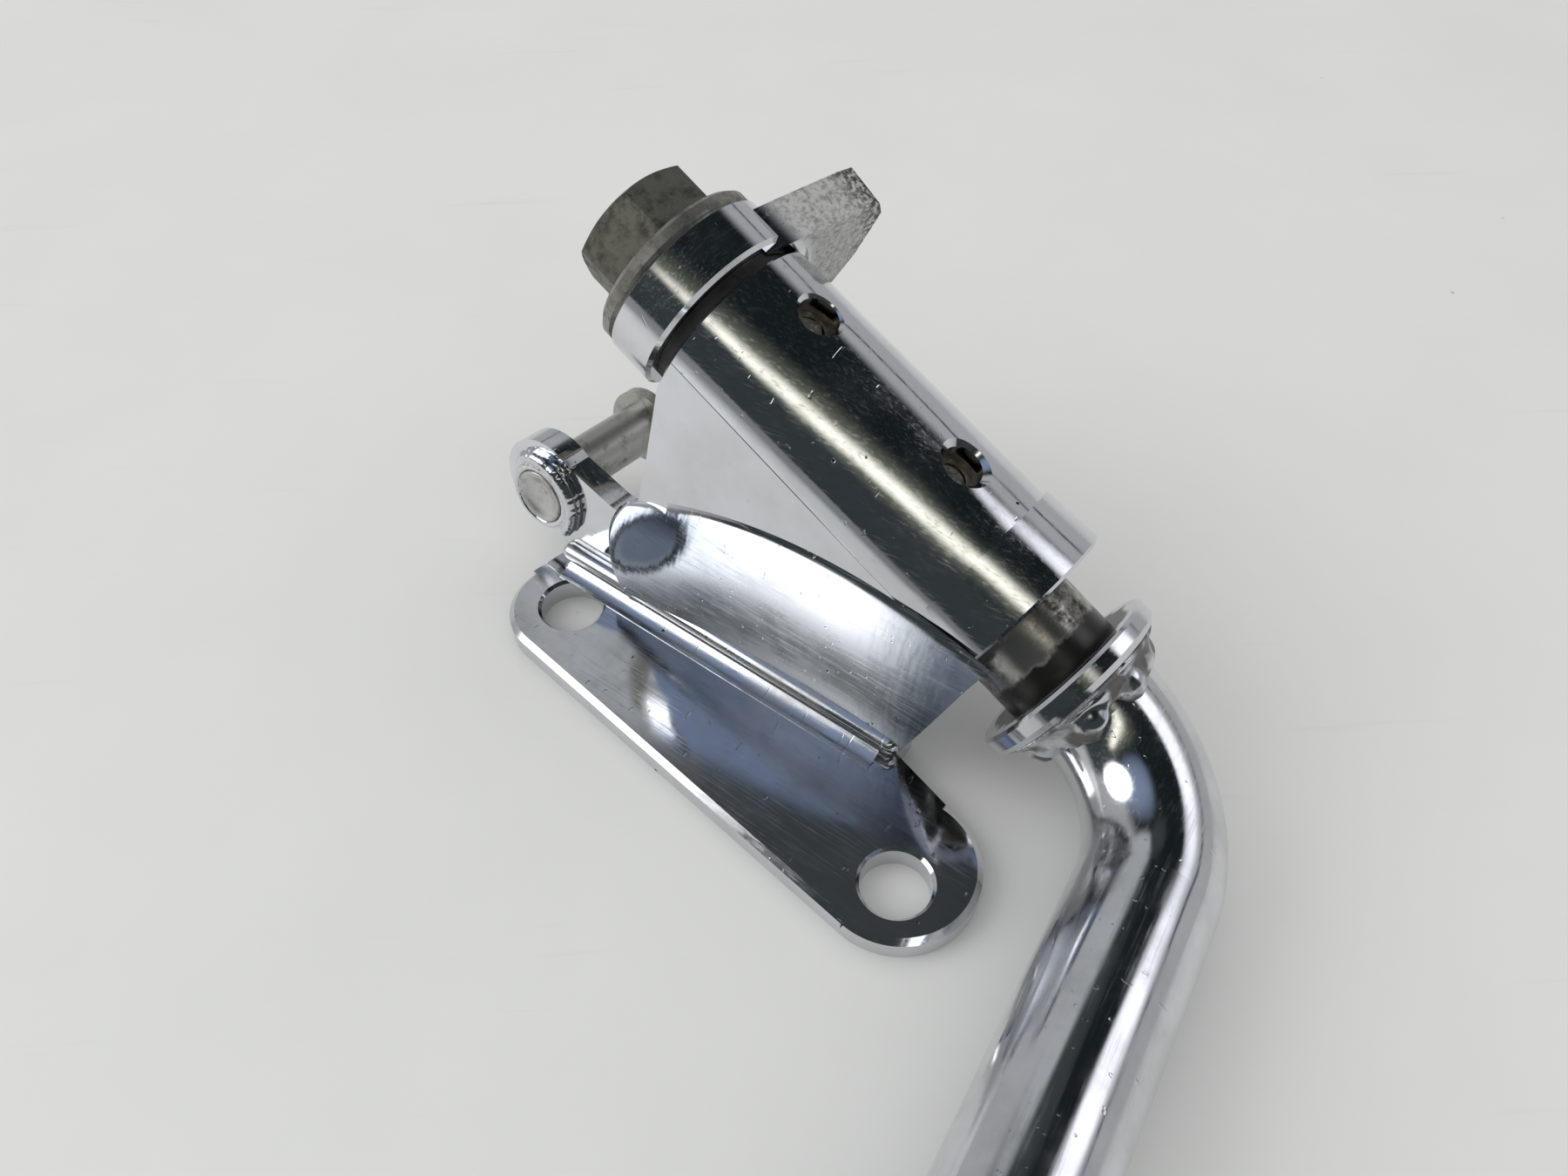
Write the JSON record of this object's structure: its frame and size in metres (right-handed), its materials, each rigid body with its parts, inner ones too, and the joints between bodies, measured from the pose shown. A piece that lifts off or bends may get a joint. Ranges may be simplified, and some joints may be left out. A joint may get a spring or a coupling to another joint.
{
  "type": "motorcycle side stand",
  "caption": "Chromed motorcycle side stand: bolt-on bracket with a sloping pivot barrel, sliding pivot shaft, keyed leg stop and bent leg with a flattened foot.",
  "frame": {"origin": "midway between the two bolt holes, on the bracket's mounting face", "axes": "+X runs through the bolt holes towards the leg end, +Y from the plate towards the barrel, +Z away from the mounting face; the motorcycle's underside lies on the -Z side"},
  "size_m": [0.184, 0.233, 0.0676],
  "materials": {
    "chrome": "mirror chrome with fine polishing marks",
    "chrome_worn": "chrome rubbed down to bare forging on the arm",
    "bare_steel": "bare turned steel with grease and light rust",
    "plated_steel": "weathered zinc plate",
    "dark_steel": "dull grey steel",
    "black_plastic": "matt black",
    "bronze": "oiled bronze"
  },
  "bodies": {
    "bracket": {"mounting_plate": "chrome", "pivot_housing": "chrome", "foot_weld": "chrome", "bolt_end_bush": "bronze", "leg_end_bush": "bronze", "spring_pin": "dark_steel"},
    "thrust_ring": {"thrust_washer": "black_plastic"},
    "leg": {"pivot_shaft": "bare_steel", "leg_stop": "chrome_worn", "flat_washer": "plated_steel", "hex_bolt": "plated_steel", "flange_collar": "chrome", "flange_weld": "chrome", "leg_bar": "chrome", "leg_foot": "chrome"}
  },
  "joints": [
    {"name": "leg_slide", "type": "slide", "parent": "bracket", "child": "thrust_ring", "axis": [0.9044, 0.0585, -0.4226], "range_m": [-0.0075, 0]},
    {"name": "leg_pivot", "type": "hinge", "parent": "thrust_ring", "child": "leg", "pos_m": [-0.0283, 0.0316, 0.0492], "axis": [-0.9044, -0.0585, 0.4226], "range_deg": [0, 95]}
  ]
}
